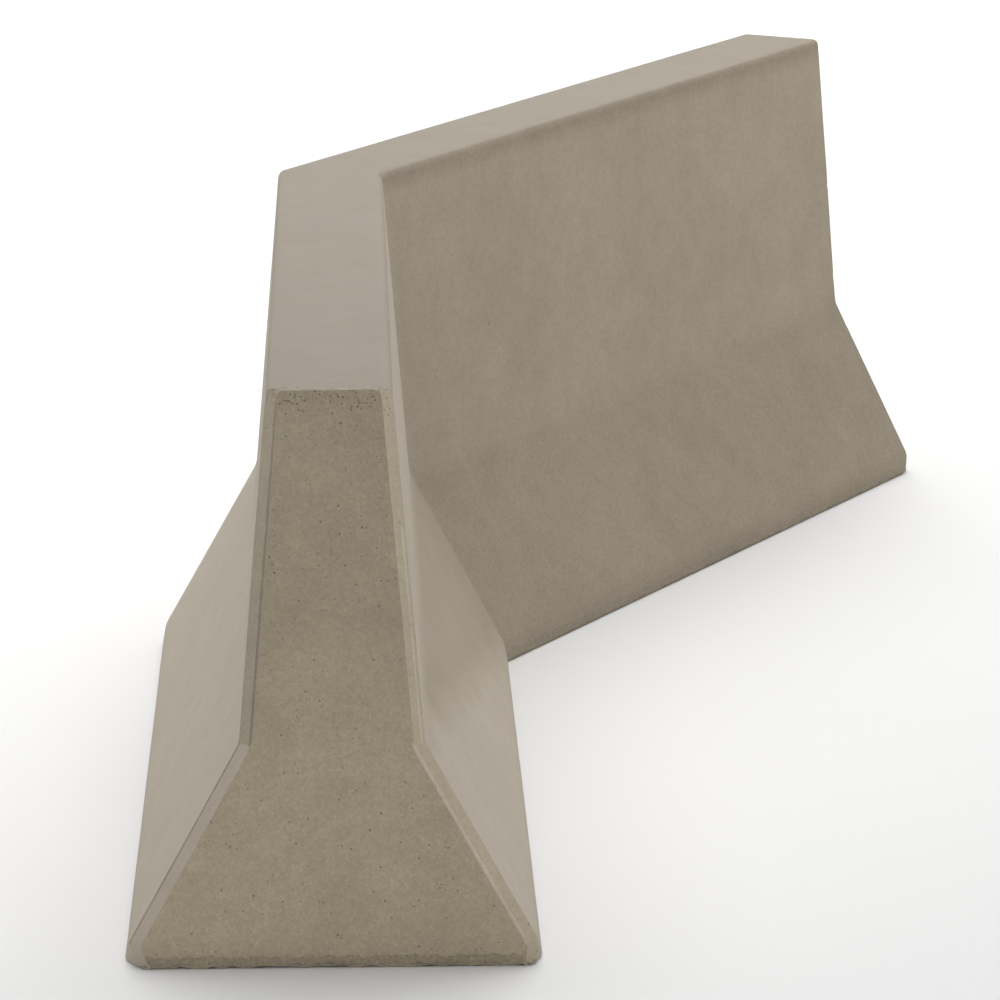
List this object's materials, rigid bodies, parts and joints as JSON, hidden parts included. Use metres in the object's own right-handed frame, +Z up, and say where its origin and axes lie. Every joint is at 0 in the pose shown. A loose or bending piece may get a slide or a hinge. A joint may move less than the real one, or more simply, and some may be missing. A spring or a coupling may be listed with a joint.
{
  "type": "concrete jersey barrier",
  "caption": "Precast concrete safety-shape barrier, a corner unit whose two equal legs meet in a mitred bend, with its reinforcement cage inside.",
  "frame": {"origin": "middle of the footprint at the bend, on the flat underside", "axes": "+Z up, +X along the barrier towards the right leg, +Y out of the outside (back) of the bend; both legs lean 15 degrees towards -Y, the inside of the bend"},
  "size_m": [3.424, 1.0085, 0.81],
  "materials": {
    "concrete": "fine matt cast concrete, warm grey-beige",
    "rebar": "hot-rolled bar with light rust",
    "mortar": "plain cement mortar"
  },
  "bodies": {
    "root": {"barrier_casting": "concrete", "long_bar_base_front": "rebar", "long_bar_base_back": "rebar", "long_bar_knee_front": "rebar", "long_bar_knee_back": "rebar", "long_bar_web_front": "rebar", "long_bar_web_back": "rebar", "long_bar_top_front": "rebar", "long_bar_top_back": "rebar", "stirrup_left_1": "rebar", "stirrup_left_2": "rebar", "stirrup_left_3": "rebar", "stirrup_left_4": "rebar", "stirrup_left_5": "rebar", "stirrup_left_6": "rebar", "stirrup_right_1": "rebar", "stirrup_right_2": "rebar", "stirrup_right_3": "rebar", "stirrup_right_4": "rebar", "stirrup_right_5": "rebar", "stirrup_right_6": "rebar", "cover_wheels_left": "mortar", "cover_wheels_right": "mortar"}
  },
  "joints": []
}
